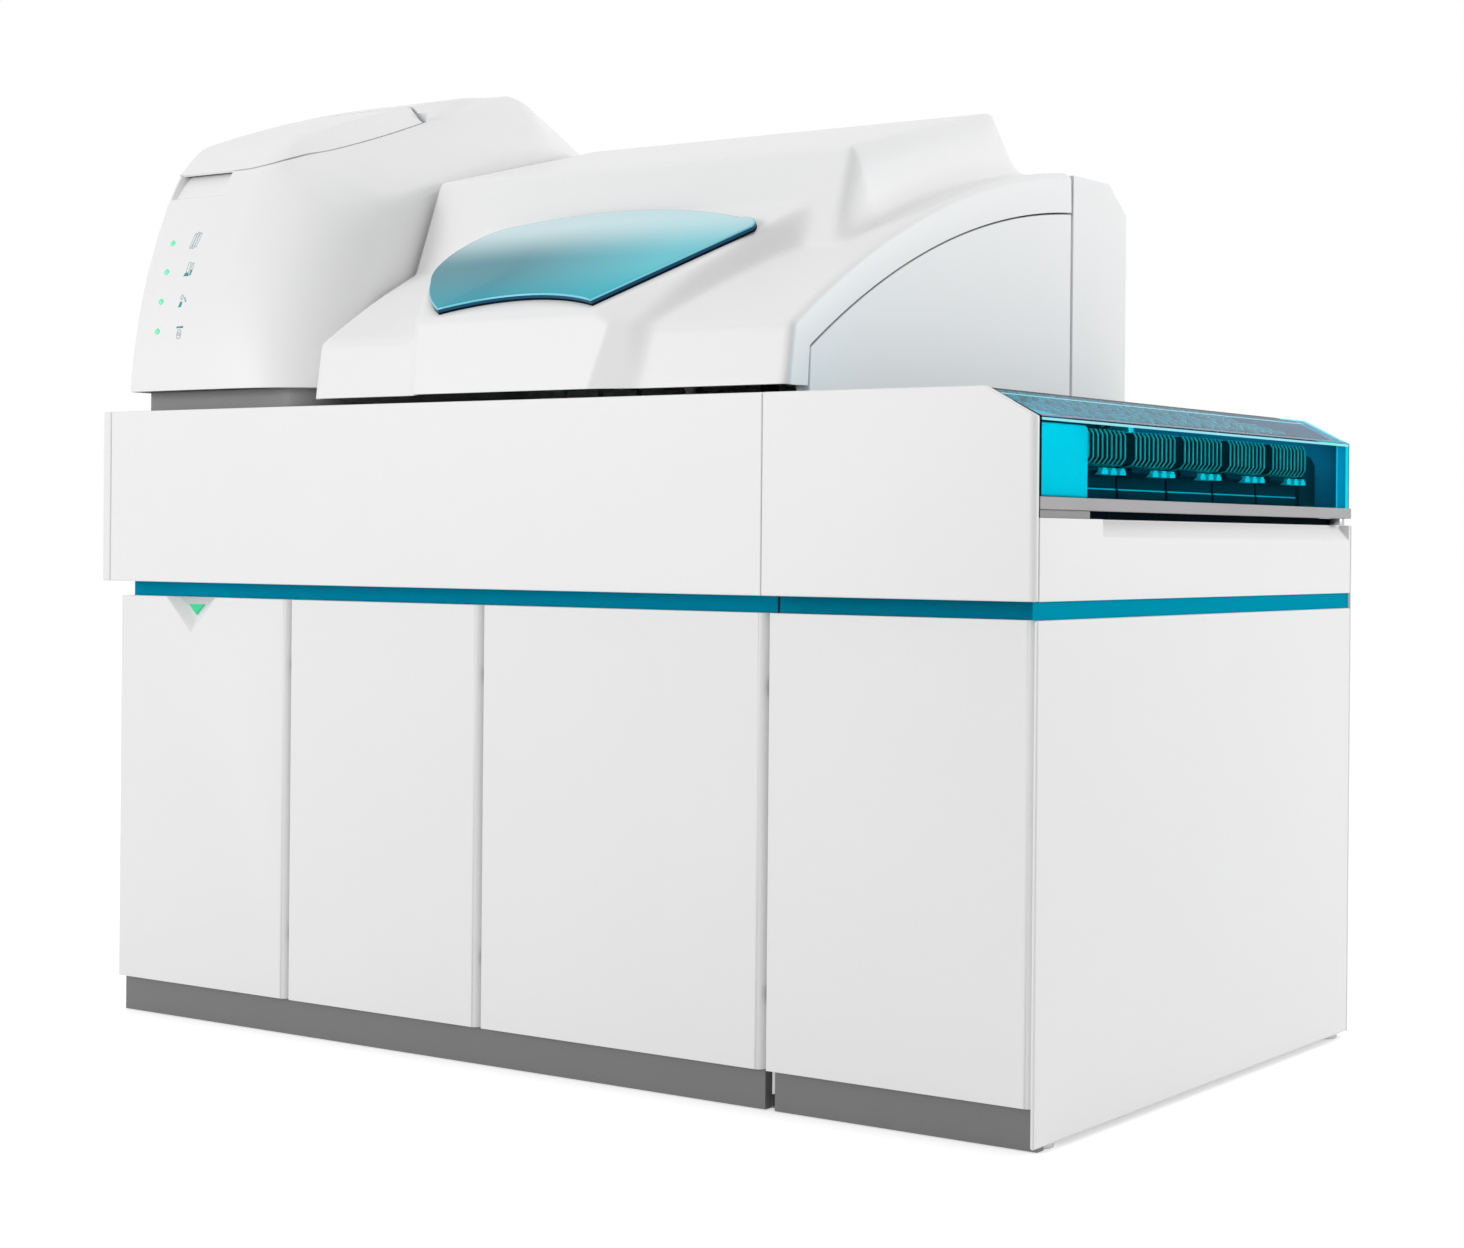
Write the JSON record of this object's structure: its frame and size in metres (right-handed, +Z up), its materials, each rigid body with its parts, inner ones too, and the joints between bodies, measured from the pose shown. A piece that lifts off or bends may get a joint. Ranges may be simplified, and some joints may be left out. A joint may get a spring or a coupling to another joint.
{
  "type": "floor-standing chemistry analyzer",
  "caption": "Floor-standing analyzer: doored cabinet, rack loader under a hinged clear cover, hinged hood with a window over the process deck, and a feeder tower with a lid.",
  "frame": {"origin": "on the floor, under the middle of the outline", "axes": "+X to the operator's right along the front, +Y from the front to the back, +Z up"},
  "size_m": [1.524, 0.922, 1.375],
  "materials": {
    "white_cover": "smooth moulded cover",
    "white_paint": "powder-coated sheet steel",
    "grey_paint": "satin powder coat",
    "blue_accent": "smooth coloured strip",
    "tinted_acrylic": "clear tinted acrylic",
    "dark_rubber": "soft seal",
    "frame_steel": "painted square tube",
    "machined_steel": "brushed",
    "light_aluminium": "grained, satin",
    "dark_plastic": "matt moulded",
    "white_plastic": "matt moulded",
    "tank_plastic": "natural blow-moulded",
    "lamp_mint": "light diffuser",
    "lamp_green": "light diffuser",
    "clear_plastic": "clear moulded"
  },
  "bodies": {
    "cabinet": {"accent_bands": "blue_accent", "arch_side_panel": "white_cover", "arm_guides": "machined_steel", "cover_hinge_rail": "machined_steel", "cuvette_feeder": "white_plastic", "cuvette_hopper": "clear_plastic", "deck_plate": "light_aluminium", "deck_wells": "light_aluminium", "door_hinges_and_catches": "machined_steel", "fascia_left": "white_cover", "fascia_right": "white_cover", "floor_plate": "frame_steel", "fluid_tanks": "tank_plastic", "frame_tubes": "frame_steel", "gantry_rail": "light_aluminium", "levelling_feet": "machined_steel", "lid_and_hood_hinges": "machined_steel", "loader_apron": "white_cover", "loader_bed": "light_aluminium", "loader_front_block": "grey_paint", "luminometer": "white_plastic", "mains_inlet": "dark_plastic", "plinths": "grey_paint", "power_supply_and_controller": "dark_plastic", "probe_wash_cups": "dark_plastic", "rear_housing": "white_cover", "rear_panels": "white_paint", "sample_racks": "white_plastic", "sample_trays": "white_plastic", "sample_tubes": "clear_plastic", "side_panels": "white_paint", "solid_waste_bin": "white_plastic", "status_lamps": "lamp_mint", "syringe_pumps": "white_plastic", "tank_caps": "white_plastic", "tower_neck": "grey_paint", "tower_shell": "white_cover", "wash_head": "white_plastic"},
    "door_1": {"door_1": "white_paint", "door_lamp": "lamp_green"},
    "door_2": {"door_2": "white_paint"},
    "door_3": {"door_3": "white_paint"},
    "door_4": {"door_4": "white_paint"},
    "tower_lid": {"tower_lid": "white_cover"},
    "hood": {"hood_shell": "white_cover", "hood_window": "tinted_acrylic", "window_gasket": "dark_rubber"},
    "loader_cover": {"loader_cover": "tinted_acrylic", "cover_bar": "light_aluminium"},
    "carousel": {"reagent_carousel": "white_plastic", "reagent_packs": "white_plastic"},
    "incubator": {"incubator_ring": "light_aluminium", "cuvettes": "clear_plastic"},
    "wash_wheel": {"wash_wheel": "light_aluminium"},
    "sample_post": {"sample_arm_post": "machined_steel"},
    "sample_arm": {"sample_arm": "white_plastic"},
    "reagent_post": {"reagent_arm_post": "machined_steel"},
    "reagent_arm": {"reagent_arm": "white_plastic"},
    "gripper": {"cuvette_gripper": "dark_plastic"},
    "power_switch": {"power_switch": "dark_plastic"}
  },
  "joints": [
    {"name": "door_1_swing", "type": "hinge", "parent": "cabinet", "child": "door_1", "pos_m": [-0.726, -0.434, 0.325], "axis": [0, 0, -1], "range_deg": [0, 100]},
    {"name": "door_2_swing", "type": "hinge", "parent": "cabinet", "child": "door_2", "pos_m": [-0.387, -0.434, 0.325], "axis": [0, 0, -1], "range_deg": [0, 100]},
    {"name": "door_3_swing", "type": "hinge", "parent": "cabinet", "child": "door_3", "pos_m": [-0.042, -0.434, 0.325], "axis": [0, 0, -1], "range_deg": [0, 100]},
    {"name": "door_4_swing", "type": "hinge", "parent": "cabinet", "child": "door_4", "pos_m": [0.405, -0.434, 0.325], "axis": [0, 0, -1], "range_deg": [0, 100]},
    {"name": "tower_lid_swing", "type": "hinge", "parent": "cabinet", "child": "tower_lid", "pos_m": [-0.609, -0.0766, 1.32873], "axis": [-1, 0, 0], "range_deg": [0, 70]},
    {"name": "hood_swing", "type": "hinge", "parent": "cabinet", "child": "hood", "pos_m": [0.022, 0.282, 1.2068], "axis": [-1, 0, 0], "range_deg": [0, 55]},
    {"name": "loader_cover_swing", "type": "hinge", "parent": "cabinet", "child": "loader_cover", "pos_m": [0.429, 0, 0.8563], "axis": [0, -1, 0], "range_deg": [0, 80]},
    {"name": "carousel_turn", "type": "hinge", "parent": "cabinet", "child": "carousel", "pos_m": [-0.179, 0.039, 0.848], "axis": [0, 0, 1], "continuous": true},
    {"name": "incubator_turn", "type": "hinge", "parent": "cabinet", "child": "incubator", "pos_m": [0.233, 0.039, 0.848], "axis": [0, 0, 1], "continuous": true},
    {"name": "wash_wheel_turn", "type": "hinge", "parent": "cabinet", "child": "wash_wheel", "pos_m": [0.233, -0.199, 0.848], "axis": [0, 0, 1], "continuous": true},
    {"name": "sample_lift", "type": "slide", "parent": "cabinet", "child": "sample_post", "axis": [0, 0, 1], "range_m": [-0.048, 0]},
    {"name": "sample_swing", "type": "hinge", "parent": "sample_post", "child": "sample_arm", "pos_m": [0.047, -0.126, 1.013], "axis": [0, 0, 1], "range_deg": [-70, 60]},
    {"name": "reagent_lift", "type": "slide", "parent": "cabinet", "child": "reagent_post", "axis": [0, 0, 1], "range_m": [-0.048, 0]},
    {"name": "reagent_swing", "type": "hinge", "parent": "reagent_post", "child": "reagent_arm", "pos_m": [0.047, 0.187, 1.013], "axis": [0, 0, 1], "range_deg": [0, 150]},
    {"name": "gripper_travel", "type": "slide", "parent": "cabinet", "child": "gripper", "axis": [1, 0, 0], "range_m": [0, 0.38]},
    {"name": "power_switch_rock", "type": "hinge", "parent": "cabinet", "child": "power_switch", "pos_m": [0.642, 0.453, 0.39], "axis": [1, 0, 0], "range_deg": [-8, 8]}
  ]
}
